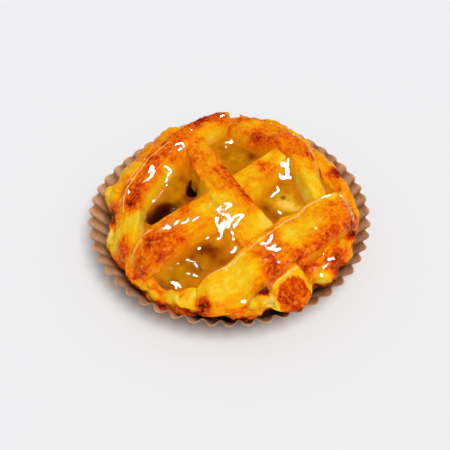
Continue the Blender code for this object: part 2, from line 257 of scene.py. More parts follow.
# How brown each strip is all over, and where it is browner or paler: by radius, x, y and change. The marks at
# (-38.3, -40.6), (-44.3, -32), (-9.3, -56) and (-14.2, -54), where strips end low by the rim, are painted
# shade in gaps.
STRIP_BROWNING_AND_SHADE = {
    "strip_middle": (0.50, {
        2.5: [(13.5, 11.5, 0.25)],
        3: [(-15.9, -28.1, 0.2), (-35.4, -42.4, 0.2), (-21, -33, 0.15), (16.3, 18.8, -0.2), (23, 17, -0.4),
            (-38.3, -40.6, 0.8), (-15, -11.5, 0.15), (9, 11, -0.15), (10.5, 0, -0.2), (-37.5, -34, 0.2),
            (-17, -14.5, 0.15), (-5, -7, -0.15), (8, 9, -0.1), (14, 17, -0.15), (19, 15, 0.05),
            (12, 7, -0.12)],
        3.5: [(-30, -27, 0.25)],
        4: [(-29.5, -34.5, -0.25), (-37.5, -40, 0.32), (-26, -35, 0.2), (-24, -27, 0.14),
            (-35.5, -28, -0.16), (-15, -22, -0.1), (24, 16, -0.22)],
        5: [(-30, -33, 0.1), (-30, -34, 0.22), (-10.5, -13, -0.34), (3, 4, -0.22)],
    }),
    "strip_right": (0.53, {
        2.5: [(25.5, 14, -0.25)],
        3: [(11.1, 29.3, 0.2), (2.5, 36.5, -0.15), (9.5, 46.5, 0.15), (30.5, 4, -0.15), (33, -1, -0.15),
            (29.5, 8, -0.2), (33, 14, -0.2), (29.5, 33, 0.17), (4, 45, 0.1), (14, 33, 0.2),
            (19, 28.5, 0.25), (19.5, 34, -0.12), (25, 26, -0.1), (30, 12, -0.1), (14, 43, -0.12)],
        4: [(10, 38.5, -0.2), (30, 27, 0.12), (26, 36, 0.12), (34, 18, 0.26)],
        5: [(34, 6, -0.28)],
        6: [(35, -3, -0.4)],
    }),
    "strip_centre": (0.54, {
        2.5: [(22.5, -50, 0.12), (-2, 10, 0.3)],
        3: [(16, -19, -0.35), (-9.5, -7.5, -0.35), (28, -52, -0.06), (7.5, -9.5, -0.18),
            (-10.5, -0.5, -0.18), (9, -25, -0.2), (-7.5, -7.5, -0.15), (-16, 15, 0.26), (-16, 22, 0.1),
            (-6, 4, -0.1), (3, 6, 0.2), (9, -8, 0.18), (28, -54.5, 0.25), (-9.4, -7.7, -0.2),
            (18, -48, 0.12)],
        3.5: [(-7, 14, -0.16), (6, -1, 0.28), (25, -56.5, 0.35)],
        4: [(15.5, -18.5, -0.2), (16, -19, -0.25), (-10.5, 24, -0.22), (-8, -14, -0.12)],
        5: [(-2, -8, -0.3), (2, -17, -0.25), (9, -20, -0.14), (15.5, -20.5, -0.36)],
        11: [(25, -46.5, -0.42)],
    }),
    "strip_left": (0.54, {
        3: [(-22, 25.5, 0.15), (-44.3, -32, 0.3), (-41.7, -25.5, 0.2), (-45, -23, -0.3), (-37.4, -22, 0.15),
            (-37.5, 14.3, -0.2), (-22.7, 15.6, 0.2), (-15, 42, 0.2), (-11, 40, 0.2), (-38, -33, 0.2),
            (-36.5, -11.4, -0.15), (-38.4, -2.2, 0.2), (-41.5, -26.5, 0.3), (-41, 6.5, -0.2),
            (-40, -12, 0.2), (-31, 22, -0.18), (-19.5, 32.5, -0.15), (-0.5, 41, 0.15),
            (-35.5, -11.5, -0.15), (-34, 1.5, 0.15), (-24.5, 30, -0.12), (-43, -5.5, -0.25),
            (-39, 11.5, -0.2), (-30, 10.5, 0.2), (-42, -1.5, -0.05), (-37, 3, 0.12), (-35, 10, 0.08),
            (-31, 17, 0.1), (-28, 20, 0.15), (-19.5, 19.5, 0.3), (-20, 29, 0.2), (-14, 35, 0.12),
            (-27, 12, -0.15), (-18, 25, -0.05), (-33, 0, -0.12)],
        3.5: [(-44, -12, -0.25)],
        4: [(-36, -21, -0.2), (-45, -22, -0.2), (-5, 42, 0.1), (-9, 34, -0.15)],
        4.2: [(-39.5, -8.5, 0.42)],
        5: [(-39, -17, -0.3)],
        6: [(-40, -26, -0.3)],
    }),
    "strip_front": (0.52, {
        2.5: [(24, -20, 0.1)],
        3: [(53.5, -7.5, 0.4), (-13.8, -53.8, 0.15), (41, -4, -0.2), (-3.6, -56, 0.2), (52, -16, 0.12),
            (32, -16, 0.27), (0, -55, 0.15), (48, -19, 0.28), (-3.5, -56, 0.2), (-14, -54, 0.15),
            (54, -7, 0.2), (41, -4.5, -0.18), (37, -19, -0.18), (8, -47.5, -0.15), (-9.3, -56, 0.3),
            (-14.2, -54, 0.4), (-6, -51.5, -0.1), (-3.2, -55, -0.25), (41, -26, -0.2), (46.5, -14.5, -0.25),
            (30, -36.5, 0.2), (43, -9, 0.2), (12.5, -43, -0.2), (23, -19, -0.15), (19.5, -34, -0.15),
            (-9.8, -52, 0.2), (10.5, -39, 0.12), (27, -36, 0.22), (21, -34, 0.1), (30, -24, 0.15),
            (38, -15, 0.1), (53, -8, 0.3), (49, -15, 0.3), (10, -30, -0.2)],
        3.5: [(28, -24.5, -0.2), (33.5, -22.5, -0.3), (18, -29.5, 0.28)],
        4: [(-16, -50, -0.25), (1, -50, -0.12), (-6, -50, -0.25), (-12, -49, -0.25), (8, -41, -0.16),
            (15, -44, 0.3), (17, -38, 0.2), (16, -31, -0.06), (30, -17.5, -0.3), (36, -27, 0.22),
            (40, -23, 0.28), (41, -6, -0.26), (45, -12, 0.08)],
        5: [(-9.5, -52, 0.1), (23.5, -27.5, -0.42), (33, -12, -0.22)],
        8: [(1, -44, -0.36)],
    }),
}
# Scorched patches with a clear edge: x, y, radius, change
SCORCHED_PATCHES = ((26.0, -50.0, 8.2, 0.52), (-9.8, -51.8, 2.8, 0.18))
# How far marks, patches and strokes are drawn out of their plain form: size of the noise, reach
MARK_WARP = (7.0, 1.6)
PATCH_WARP = (4.0, 0.7)
STROKE_WARP = (2.4, 0.3)
PATCH_EDGE = 1.2

# Strokes where the glaze shines: by width, the x and y of each corner
SHINE = {
    0.36: [(-24.6, 13.6, -26.3, 9.8, -27, 4, -30.2, -0.8)],
    0.4: [(-16.8, -33.5, -13.6, -35.2, -12.1, -38.8), (-16.3, -40.6, -12.9, -41.8)],
    0.5: [(14, -33.7, 14.4, -34.8), (-27.3, 13, -24.8, 12.8), (-26.8, -23.5, -24.5, -21.2),
          (-14.5, -19.5, -12, -17.4), (38.8, -34.6, 37, -36.8, 35.4, -39),
          (42.5, -3.2, 45.2, -2.4, 46.2, -5), (37.5, -7.8, 39.3, -6.8, 41.2, -5.6)],
    0.55: [(-3, -21.5, -3.8, -23, -4.8, -23.4), (1.2, -26.4, 1.6, -27.5), (1, 35.6, 1.4, 34.2),
           (-22.2, -20.8, -20, -19), (-40.8, 5.2, -40.4, 5.2)],
    0.6: [(-4.8, -13.5, -2.2, -11.5, 0.2, -10.9, 0.9, -12, -1.4, -14, -4.2, -14.4, -4.8, -13.5),
          (-5.3, -16.8, -3.4, -16.1, -1.2, -16.8, 0, -17.6, -2, -19, -4.8, -18.5, -5.3, -16.8),
          (-32.8, 5.3, -34.2, 4, -35.5, 3.2), (-20.2, 22.6, -21.9, 21.4),
          (-18.6, -20.4, -17, -19.6, -16, -18.4), (-25.2, 21.1, -24.8, 21.1), (18.8, -40.3, 19.2, -40.3),
          (-16.9, 34.1, -16.5, 34.1), (20.4, 5.5, 20.8, 3.4, 19.2, 1.6, 17.6, -0.2)],
    0.7: [(-0.9, -22.3, 0.6, -21), (-33.5, 10.6, -33.7, 8.4), (-41.3, -1.6, -41.3, -2.8),
          (-32, -2.9, -30.9, -2.9), (20.2, -8.7, 21.4, -9.6), (-7.8, -10.6, -7, -11.4),
          (-1.7, 30.3, -1.3, 30.3)],
    0.75: [(5.2, -17.6, 3.5, -19.8, 2.6, -21.3, 1.9, -23.2), (14.8, -32.5, 13.4, -32.3, 12, -32.8),
           (-23.1, 23.9, -22, 25, -20.4, 24.9, -19.7, 23.6), (-1.3, 33.8, 0.5, 33.4),
           (35.6, -40.1, 36, -40.1), (4.9, -51.9, 5.9, -51.7), (-9.1, -23, -8.7, -23.2),
           (-3.6, 43, -2.4, 44.4), (-27.6, -46, -27.2, -46), (-12.4, -28.9, -11.6, -28.3),
           (-44.7, 22.8, -44.3, 22.8)],
    0.8: [(-1.8, -21.2, 0.7, -19.2, 2.7, -17.8, 4.3, -16.7, 5.5, -16.9)],
    0.85: [(25.5, 17, 25.3, 15.4), (23.2, 12.8, 23.6, 10), (-36.2, 17.2, -36.8, 15.6),
           (-20.4, -43, -20.7, -46), (-24.6, -22.8, -23.3, -22.2), (1, -30.4, 2.6, -30)],
    0.9: [(-22.1, -43.7, -18.9, -45.2)],
    1: [(-0.4, -17, 0, -18.6), (1, -24.5, 1.2, -25.2), (16.5, -28.5, 16.1, -30.3, 15.3, -31.3),
        (17.6, -33, 16.3, -34.6), (15.2, -35.1, 17.8, -35.5, 19.4, -34.9), (24.6, 16.5, 22.4, 14.7),
        (-31.3, 9.2, -32, 7, -32.8, 5.3), (39, -33.6, 41.2, -32.3), (14.6, -55.2, 15.2, -56.4)],
    1.2: [(0.8, 33.4, 1.7, 33.7)],
    1.3: [(24.8, 15.5, 24.9, 12)],
    1.4: [(21.9, 11.3, 24, 11.3, 26.4, 10.9)],
    1.5: [(-3.5, -19.8, -2.6, -20.8)],
    1.6: [(-32.5, 12, -32.3, 9.6)],
}
# Lines of glaze along the strips' edges, as strokes too: each raises a small ridge, and its highlight is
# painted on as a pale tint
PALE_HIGHLIGHT_LINES = {
    0.34: [(-43, -12.5, -43.3, -4, -42, 1, -37.7, 10.6, -34, 18.4, -29, 24.6, -25.7, 27.3)],
    0.35: [(50.5, 0.4, 52, -2.4, 52.8, -8), (46, -3, 49.5, -4.5, 51.2, -9, 51.5, -13)],
    0.36: [(-22.6, 35.6, -18.2, 39.8, -11.2, 44.4)],
    0.38: [(13.8, -48.4, 18.4, -44.8, 24.3, -40.4, 30, -36, 34.6, -31.8, 39.8, -27.8, 44, -23.2)],
    0.40: [(-45, -8, -45.2, -1, -42, 5, -38.8, 11.5, -35.6, 18.6, -32.2, 24.9, -26.9, 31.2, -22.6, 35.6),
           (-30.6, -23, -33, -24.2, -35.2, -26.8, -37.4, -30, -38.5, -32.2, -39.3, -34.5, -38, -37.6),
           (-38, -37.6, -34.8, -40.4, -30.8, -40.4, -27.6, -38.6),
           (40.2, -5.7, 44.6, -3.3, 47.6, -4.7, 49.4, -8.8, 50.3, -14),
           (35.7, 25, 36.8, 16.7, 39, 7, 40.6, -0.5)],
    0.50: [(-14.8, -46.8, -6.6, -43.2, 2, -40.2, 6, -36.6, 12.6, -30, 22, -21.4, 30.4, -13, 39, -7)],
}

# The shell: its turned profile as radius and height, and the ramps of its crumb and of its strips' seats
SHELL_STEPS = 700
SHELL_ROWS = 120
SHELL_PROFILE = (
    (40.5, 1.0), (43.5, 3.2), (46.8, 8.0), (49.4, 12.2), (51.4, 16.0), (52.3, 19.5), (51.6, 22.8),
    (49.6, 25.0), (46.6, 25.8), (44.0, 23.0), (41.8, 15.5), (38.8, 8.0),
)
CRUMB_START = (10.0, 6.0)
CRUMB_END = (0.85, 0.08)
SHELL_SEAT = 3.0
SHELL_SEAT_WIDTH = 4.5
SEAT_START = (18.0, 4.0)
SEAT_MARGIN = 0.5
# Lumps of the rim: angle in degrees, half width in degrees, reach, rise
RIM_LUMPS = (
    (80, 24, 0.8, 3.4), (-5, 12, 1.6, 0), (20, 10, -1.2, 0.4), (42, 12, -0.8, 0), (66, 7, 0.6, 0.6),
    (122, 6, 1.6, 0.8), (142, 14, -1, -0.6), (159, 7, -1, 0), (170, 4, 2.8, -0.5), (186, 8, -3.6, -1),
    (199, 4, 1.8, -2.5), (210, 6, -4, -1.5), (237, 7, 0, -3.5), (221, 8, 1.4, -3), (240, 9, 2, -3.5),
    (252, 8, 1, -2), (275, 8, 1.6, -4.5), (285, 6, 1.5, 1.5), (309, 4, -1.5, -2), (318, 6, 1.8, -2),
    (334, 8, 1.8, -1.5), (135, 8, 0.8, 0.5),
)
# The crumb: size and height of its lumps, grains and crumbs, and of the grit on them
SHELL_CRUMBS = ((8.0, 2.4), (3.4, 1.3), (1.7, 0.45))
SHELL_GRIT = ((1.6, 0.12), (0.8, 0.08))
CRUMB_LEVEL = 0.75
CRUMB_WARP = (5.0, 1.2)
# How much darker the creases between lumps and grains are, as painted shade, and how much darker the side is
# low down
LUMP_CREASE_SHADE = 0.25
GRAIN_CREASE_SHADE = 0.15
LOW_DARKENING = 0.34
LOW_DARKENING_END = (15.0, 3.5)
# How brown the shell is all over, and where it is browner or paler: by radius, x, y and change. The marks
# near (-48, -15), (-48.5, -12.5), (-22, -52.5), (-29.5, -48.5) and (10.6, -56) are painted shade in the gaps
# between lumps and along the paper.
SHELL_BROWNING_AND_SHADE = (0.42, {
    2.5: [(15, -51, 0.3), (15.2, -53.8, -0.25), (10.4, -53.4, -0.3), (-48.2, -15.2, 0.25),
          (14.4, -51, 0.25), (-8.5, -53, 0.2), (15.2, -55.5, -0.3), (13.5, -50.5, 0.35), (16, -53, -0.2),
          (19.6, -49.5, 0.3), (-47.5, -19, -0.2), (13, -49.5, 0.3), (30, -40, 0.35)],
    3: [(7.8, -54.4, -0.25), (40, -37, 0.2), (-48.2, -15.6, 0.2), (-30.3, -43.7, 0.2), (32.5, -34.8, 0.25),
        (14.6, -51.4, 0.3), (-31.5, -45, -0.2), (34.8, -35.3, 0.3), (-22, -52.5, 0.35),
        (-29.5, -48.5, 0.35), (10.6, -56, 0.35), (-32, -45.5, -0.25), (-28.6, -46.4, -0.45),
        (-30.5, -43, 0.25), (11, -54, 0.2), (-9.3, -52.6, 0.3), (-12.7, -47, -0.25), (34, -42.6, -0.2),
        (-48.5, -17.6, -0.2), (15.5, -53, -0.3), (33.5, -42.5, -0.2), (-9.5, -52.5, 0.2), (49, -21, 0.17),
        (41.5, -30, -0.16), (-22, -50, -0.18), (-31.5, -44.5, -0.25), (-48, 0, -0.15), (-10, -53, 0.5),
        (33.5, -45, 0.5), (14.5, -53.5, -0.3), (13, -50.5, 0.3), (46, 11.5, 0.2), (-45, -29, 0.3),
        (-20, -56, 0.15), (4, -55, 0.3), (2, -51, -0.2), (8, -59, 0.15), (51, -17, 0.35), (36, -43, -0.1)],
    3.5: [(-51, -19, -0.2), (41.3, -35.8, 0.35), (50, -19, 0.35), (44.5, -30, 0.25), (-51, 3, -0.3),
          (-49, -16, -0.2)],
    4: [(-48.5, -12.5, 0.45), (37, -37, -0.3), (-22, -50, -0.2), (-44, 26, 0.2), (-36, 38, 0.15),
        (-42, 18, -0.16), (-48.5, -7, 0.4), (-46.5, -23, -0.3), (-38, -38, 0.25), (-36, -45, 0.2),
        (-28, -47, -0.05), (-13, -50, -0.25), (-8, -58, 0.15), (46, 14, 0.45), (42, 20, -0.1),
        (42.5, -30, 0.15), (34, -48, 0.15)],
    5: [(-25, -45, 0.2), (-20, -50, -0.22), (12, -55, -0.12), (44, 4, -0.05), (46, -27, -0.12)],
    6: [(-48, 12, -0.16)],
})

# The filling
FILLING_RADIUS = 50.0
FILLING_EDGE_RADIUS = 43.5
FILLING_EDGE_WIDTH = 3.5
FILLING_EDGE_DROP = 3.5
FILLING_SINK = 5.6
LOWEST_FILLING = 16.5
FILLET_WIDTH = 4.5
FILLET_RISE = 1.6
FILLET_OVERLAP = 1.0
FILLING_STEPS = 360
FILLING_RINGS = 130
SMALLEST_RING = 0.002
FILLING_WAVES = ((5.0, 0.30), (2.2, 0.10))
FILLING_WARP = (6.0, 1.2)
APPLE_FLAT = 0.35
HOLLOW_FLAT = 0.3
# Apple pieces that show: x, y, half length, half width, turn in degrees, rise
APPLE_PIECES = (
    (-26, 3, 12.5, 6.2, 62, 3), (4, 24, 8.5, 5, -30, 1.8), (23, -4, 8, 4.5, -22, 2.2),
    (27, 8, 6, 4, 70, 1.2), (-18, -40, 8, 4, 18, 1.8), (-8, -35, 6, 4, -35, 1.4),
    (35, -37, 5, 3.5, 40, 1.4),
)
# Hollows: x, y, radius, depth
HOLLOWS = (
    (-15.6, 2.6, 2.8, 5), (-15.6, 5.4, 2.7, 5.5), (-15.4, 8, 2.4, 5.5), (-31.5, -11.8, 3.6, 3.2),
    (-28, -9, 3.6, 3.2), (-24.6, -6.4, 3.2, 2.6), (-21.5, -4.2, 2.4, 1.4), (31, -33, 3, 1.6),
    (22.6, -0.6, 1.4, 2.6), (24.6, -1.8, 1, 1.4),
)
# Where the jelly has run over the shell: x, y, radius, height
SPILLS = ((-27.0, -41.0, 6.0, 23.0), (-20.5, -43.5, 5.0, 22.5))
SPILL_FALL = 4.0
SPILL_LIMIT = 24.5
SPILL_EDGE_RADIUS = 46.5
SPILL_EDGE_DROP = 9.0
# Tints of the filling: by radius, x, y and change, towards pale apple above 0 or brown jelly below 0. The
# dark marks at (-16, -4), (-27, -6.5), (-32.5, -11.5) and (-30, -6), in the left window and beside its hole,
# are painted shade.
FILLING_TINTS_AND_SHADE = {
    3: [(-29, -2.5, 0.2), (-20.5, -35, -0.15), (-7, -24.5, 0.2), (-3, -32, 0.25), (5.8, 26, 0.25)],
    3.5: [(-16, -4, -0.35), (-27, -6.5, -0.35), (29, -7, 0.3)],
    4: [(-32.5, -11.5, -0.35), (-12.5, -39, -0.2), (-19, -46, 0.05), (-4, -26, 0.3), (15, -6, 0.1),
        (-18, 12, -0.25), (-14, 2, -0.6), (10, 26, -0.3), (0, 32, 0.15), (16, 1, 0.05), (14, -8, -0.35),
        (18, -12, -0.2), (30, -2, -0.1), (-4, -30, -0.4), (-16, -31, -0.2), (-2, -36, -0.2),
        (-26, -40, 0.25), (31, -31, -0.4)],
    4.5: [(-10, -27, -0.46)],
    5: [(-26, -43, -0.2), (-22, 14, 0.15), (-30, -6, -0.4), (3, 28, -0.1), (2, 22, 0.1), (26, 6, 0.05),
        (-12, -35, 0.1), (-20, -38, 0.15), (36, -36, 0.2)],
    6: [(23, -4, 0.5)],
    7: [(-25, 2, 0.1)],
}


def srgb(red, green, blue):
    """Linear colour of an sRGB colour given from 0 to 255."""
    linear = []
    for value in (red, green, blue):
        share = value / 255
        linear.append(share / 12.92 if share <= 0.04045 else ((share + 0.055) / 1.055) ** 2.4)
    return (*linear, 1.0)


def smooth_step(values, start=0.0, width=1.0):
    """A soft rise from 0 where the values are at the start to 1 a width beyond it."""
    share = np.clip((values - start) / width, 0.0, 1.0)
    return share * share * (3 - 2 * share)


def cell_code(cell, seed):
    """A scattered whole number for each cell of a grid, the same on every run."""
    code = cell[..., 0] * 73856093 ^ cell[..., 1] * 19349663 ^ cell[..., 2] * 83492791 ^ seed * 668265263
    code = (code ^ (code >> 13)) * 1274126177 & 0x7FFFFFFF
    return code ^ (code >> 15)


def gradient_noise(points, seed=0):
    """Smooth noise of about -1 to 1 at an array of points."""
    cell = np.floor(points).astype(np.int64)
    inside = points - cell
    fade = inside**3 * (inside * (inside * 6 - 15) + 10)
    total = np.zeros(points.shape[:-1])
    for corner in itertools.product((0, 1), repeat=3):
        code = cell_code(cell + corner, seed)
        turn = (code & 1023) / 1024 * math.tau
        up = ((code >> 10) & 1023) / 511.5 - 1
        flat = np.sqrt(1 - up**2)
        offset = inside - corner
        slope = offset[..., 0] * np.cos(turn) * flat + offset[..., 1] * np.sin(turn) * flat
        slope += offset[..., 2] * up
        total += slope * np.where(corner, fade, 1 - fade).prod(axis=-1)
    return total * 1.7


def fractal_noise(points, octaves, seed=0):
    """Noise whose detail halves in size and in strength with each octave."""
    total = np.zeros(points.shape[:-1])
    for octave in range(octaves):
        total += gradient_noise(points * 2**octave, seed + octave) / 2**octave
    return total


def waves(points, table, seed):
    """Sum of noises, each given as its size and height, and each with the next seed."""
    total = np.zeros(points.shape[:-1])
    for place, (size, height) in enumerate(table):
        total += height * gradient_noise(points / size, seed + place)
    return total


def drift(points, size, reach, octaves, seeds):
    """Smooth shifts of up to about the reach, along one axis for each seed."""
    return reach * np.stack([fractal_noise(points / size, octaves, seed) for seed in seeds], -1)


def pebbles(points, seed):
    """Rounded lumps about one unit wide, 1 at their tops, with creases between them."""
    cell = np.floor(points).astype(np.int64)
    nearest = np.full(points.shape[:-1], 9.0)
    for step in itertools.product((-1, 0, 1), repeat=3):
        code = cell_code(cell + step, seed)
        jitter = np.stack([code & 1023, (code >> 10) & 1023, (code >> 20) & 1023], -1) / 1023
        nearest = np.minimum(nearest, ((cell + step + jitter - points) ** 2).sum(axis=-1))
    return 1 - nearest


def in_plan(spots):
    """The x, y spots as points at height 0."""
    return np.concatenate([spots, np.zeros(spots.shape[:-1] + (1,))], -1)


def distance(spots, place):
    """Distance in plan from each x, y spot to a place."""
    return np.hypot(*np.moveaxis(spots - place, -1, 0))


def share_along(spots, start, end):
    """How far along a line each x, y spot is, from 0 at its start to 1 at its end."""
    along = end - start
    return np.clip(((spots - start) @ along) / (along @ along), 0, 1)[..., None]


def nearness(angle, centre, half_width):
    """How near angles in radians are to a centre in degrees, from 0 to 1."""
    apart = (np.degrees(angle) - centre + 180) % 360 - 180
    return np.exp(-((apart / half_width) ** 2))


def edge_fall(radius, start, width):
    """How far a surface has fallen past a radius: 0 up to it, 1 a width beyond it, and ever steeper."""
    return (np.maximum(0.0, radius - start) / width) ** 2


def marked(spots, marks):
    """Sum of soft round marks at x, y spots: by radius, their x, y and change."""
    total = np.zeros(spots.shape[:-1])
    for radius, places in marks.items():
        for x, y, change in places:
            total += change * np.exp(-((spots - (x, y)) ** 2).sum(axis=-1) / radius**2)
    return total


def patched(spots, patches):
    """Sum of round patches with a clear edge at x, y spots: x, y, radius, change."""
    total = np.zeros(spots.shape[:-1])
    moved = spots + drift(in_plan(spots), *PATCH_WARP, 3, (41, 43))
    for x, y, radius, change in patches:
        total += change * smooth_step((radius - distance(moved, (x, y))) / PATCH_EDGE)
    return total


def strokes(spots, table):
    """How near x, y spots are to strokes: 1 along the middle of one and 0 its width away."""
    moved = spots + drift(in_plan(spots), *STROKE_WARP, 2, (31, 37))
    total = np.zeros(spots.shape[:-1])
    for width, lines in table.items():
        for line in lines:
            corners = np.array(line).reshape(-1, 2)
            for start, end in zip(corners, corners[1:]):
                nearest = start + share_along(moved, start, end) * (end - start)
                total = np.maximum(total, 1 - distance(moved, nearest) / width)
    return total


def browning(points, level, marks):
    """How brown the crust is, from pale at 0 to scorched at 1, before its fine speckle; a few of its marks
    are painted shade in gaps.
    """
    return level + marked(points[..., :2] + drift(points, *MARK_WARP, 3, (11, 23)), marks)


def smooth_path(points):
    """Points of x, y and half width along a smooth curve through the given points."""
    given = np.array(points, dtype=float) * (1, 1, 0.5)
    ends = np.vstack([2 * given[0] - given[1], given, 2 * given[-1] - given[-2]])
    t = np.arange(PATH_SAMPLES)[:, None] / PATH_SAMPLES
    path = []
    for before, start, end, after in zip(ends, ends[1:], ends[2:], ends[3:]):
        path.append(
            0.5 * (2 * start + (end - before) * t + (2 * before - 5 * start + 4 * end - after) * t**2
                   + (3 * start - before - 3 * end + after) * t**3)
        )
    return np.vstack([*path, given[-1:]])


def length_along(path):
    """Length in plan from the start of a path to each of its points."""
    return np.concatenate([[0], np.cumsum(np.hypot(*np.diff(path[:, :2], axis=0).T))])


def resampled(path, lengths):
    """The path's values at the given lengths along it."""
    run = length_along(path)
    return np.stack([np.interp(lengths, run, column) for column in path.T], -1)


PATHS = {name: smooth_path(points) for name, points in STRIPS.items()}


def beyond_strip(spots, name):
    """How far each x, y spot lies outside a strip in plan, negative over the strip."""
    nearest = np.full(spots.shape[:-1], np.inf)
    for start, end in zip(PATHS[name], PATHS[name][1:]):
        on_line = start + share_along(spots, start[:2], end[:2]) * (end - start)
        nearest = np.minimum(nearest, distance(spots, on_line[..., :2]) - on_line[..., 2])
    return nearest


def dome_height(spots):
    """Height of the strips' tops where none crosses another."""
    radius = distance(spots, DOME_CENTRE)
    height = DOME_HEIGHT - DOME_FALL * (radius / DOME_FALL_RADIUS) ** 2
    height -= EDGE_FALL * edge_fall(radius, EDGE_START_RADIUS, EDGE_FALL_WIDTH)
    return np.maximum(LOWEST_TOP, height)


def strip_top(name, spots, beyond=None):
    """Height of a strip's top: it rises over the strips below it and dips under those above it."""
    height = dome_height(spots)
    place = ORDER.index(name)
    for other in ORDER:
        if other != name:
            apart = beyond[other] if beyond else beyond_strip(spots, other)
            weight = 1 - smooth_step(apart, *CROSSING_RAMP)
            lies_over = ORDER.index(other) < place
            height += weight * (CROSSING_RISES[name] if lies_over else -CROSSING_DIP * CROSSING_RISES[other])
    return height


def lowest_top(spots, beyond, margin):
    """Height of the lowest strip's top at each spot, or infinity where no strip is within the margin."""
    lowest = np.full(spots.shape[:-1], np.inf)
    for name in ORDER:
        top = strip_top(name, spots, beyond)
        lowest = np.where(beyond[name] < margin, np.minimum(lowest, top), lowest)
    return lowest


def grid_normals(points):
    """Normals of a grid of points whose rows are closed rings."""
    around = np.roll(points, -1, 1) - np.roll(points, 1, 1)
    normals = np.cross(np.gradient(points, axis=0), around)
    return normals / np.maximum(np.linalg.norm(normals, axis=-1, keepdims=True), SMALLEST)


def mirror_directions(points):
    """For each point in metres, the surface direction that mirrors the lamp to the camera."""
    halfway = np.zeros(points.shape)
    for place in (np.array(CAMERA_PLACE) * MM, np.array(LAMP_PLACE)):
        line = place - points
        halfway += line / np.linalg.norm(line, axis=1, keepdims=True)
    return halfway / np.linalg.norm(halfway, axis=1, keepdims=True)


def grid_object(name, points, attributes, capped=False):
    """An object whose mesh is a grid of points in millimetres, with rings as rows and open or capped ends."""
    rows, columns = points.shape[:2]
    index = np.arange(rows * columns).reshape(rows, columns)
    ring = np.roll(index, -1, 1)
    faces = np.stack([index[:-1], index[1:], ring[1:], ring[:-1]], -1).reshape(-1, 4).tolist()
    verts = points.reshape(-1, 3) * MM
    if capped:
        verts = np.vstack([verts, points[0].mean(axis=0) * MM, points[-1].mean(axis=0) * MM])
        first_hub, last_hub = rows * columns, rows * columns + 1
        faces += [(first_hub, a, b) for a, b in zip(index[0].tolist(), ring[0].tolist())]
        faces += [(last_hub, b, a) for a, b in zip(index[-1].tolist(), ring[-1].tolist())]
    mesh = bpy.data.meshes.new(name)
    mesh.from_pydata(verts.tolist(), [], faces)
    if "shine" in attributes:
        layer = mesh.attributes.new("mirror_lamp", "FLOAT_VECTOR", "POINT")
        layer.data.foreach_set("vector", mirror_directions(verts).reshape(-1).astype(np.float32))
    for title, values in attributes.items():
        flat = values.reshape(-1)
        if capped:
            flat = np.append(flat, [values[0].mean(), values[-1].mean()])
        layer = mesh.attributes.new(title, "FLOAT", "POINT")
        layer.data.foreach_set("value", flat.astype(np.float32))
    mesh.shade_smooth()
    obj = bpy.data.objects.new(name, mesh)
    bpy.context.scene.collection.objects.link(obj)
    return obj


def finish_piece(obj, material, node):
    obj.data.materials.append(material)
    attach(obj, "root")
    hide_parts(node)


def strip_section():
    """Places across a strip, from 1 at its left edge to -1 and back below, and 1 for those below."""
    upper = np.linspace(1, -1, UPPER_POINTS)
    upper = np.sign(upper) * (1 - (1 - np.abs(upper)) ** EDGE_CROWDING)
    across = np.concatenate([upper, np.linspace(-LOWER_SPAN, LOWER_SPAN, LOWER_POINTS)])
    return across, np.concatenate([np.zeros(UPPER_POINTS), np.ones(LOWER_POINTS)])


def side_softness(name, line, side, across, from_end):
    """How soft a strip's left and right sides are along it, less so at its ends."""
    soft = []
    for way, softness in zip((1, -1), EDGE_SOFTNESS[name]):
        edge = line[:, :2] + way * side * line[:, 2:]
        soft.append(softness + marked(edge, EDGE_MARKS)[:, None])
    softness = np.maximum(np.where(across > 0, *soft), 0.0)
    return softness * (END_SOFTNESS + (1 - END_SOFTNESS) * smooth_step(from_end / SOFT_LENGTH))


def strip_form(name, seed):
    """A strip's points before its relief, and what its looks need at each of them."""
    path = PATHS[name]
    length = length_along(path)[-1]
    share = np.linspace(0, 1, STRIP_RINGS)
    gone = length * (share - np.sin(share * math.tau) / math.tau * RING_CROWDING)
    line = resampled(path, gone)
    ahead = np.gradient(line[:, :2], axis=0)
    ahead /= np.linalg.norm(ahead, axis=1, keepdims=True)
    side = np.stack([-ahead[:, 1], ahead[:, 0]], -1)
    gone = gone[:, None]
    from_end = np.minimum(gone, length - gone)
    end_length, rounding, drop = np.where(gone < length / 2, *END_FORMS[name]).T[..., None]
    into_end = np.clip(1 - from_end / end_length, 0, NARROWEST_END)
    ring_scale = (1 - into_end**rounding) ** (1 / rounding)

    across, below = strip_section()
    softness = side_softness(name, line, side, across, from_end)
    foot = STRIP_FOOT * softness
    shoulder = STRIP_SHOULDER * (LEAST_SHOULDER + (1 - LEAST_SHOULDER) * softness)
    wobble_space = np.stack([gone / WOBBLE_LENGTH, 0 * gone, 0 * gone + seed], -1)
    half_width = line[:, 2:] * (1 + WOBBLE * gradient_noise(wobble_space)) + foot
    reach = across * half_width * ring_scale
    spots = line[:, None, :2] + side[:, None, :] * reach[..., None]
    inward = half_width * ring_scale * (1 - np.abs(across))
    nearer = np.exp(-inward / CORNER_ROUNDING) + np.exp(-from_end / CORNER_ROUNDING)
    inward = -CORNER_ROUNDING * np.log(nearer)
    fall = np.maximum(1 - smooth_step(inward / (foot + shoulder)), below)

    top = strip_top(name, spots)
    inside = 1 - smooth_step(distance(spots, PASTRY_CENTRE), *FOOT_FADE)
    bottom = np.minimum(top - STRIP_THICKNESS, dome_height(spots) - (FILLING_SINK + FOOT_DEPTH) * inside)
    bottom = np.maximum(bottom, LOWEST_FOOT * (1 - inside))
    height = top - (top - bottom) * fall - STRIP_CROWN * across**2
    height -= drop * smooth_step(1 - from_end / end_length)
    points = np.concatenate([spots, height[..., None]], -1)
    return points, np.broadcast_to(gone, reach.shape), reach, across, fall, top, inside


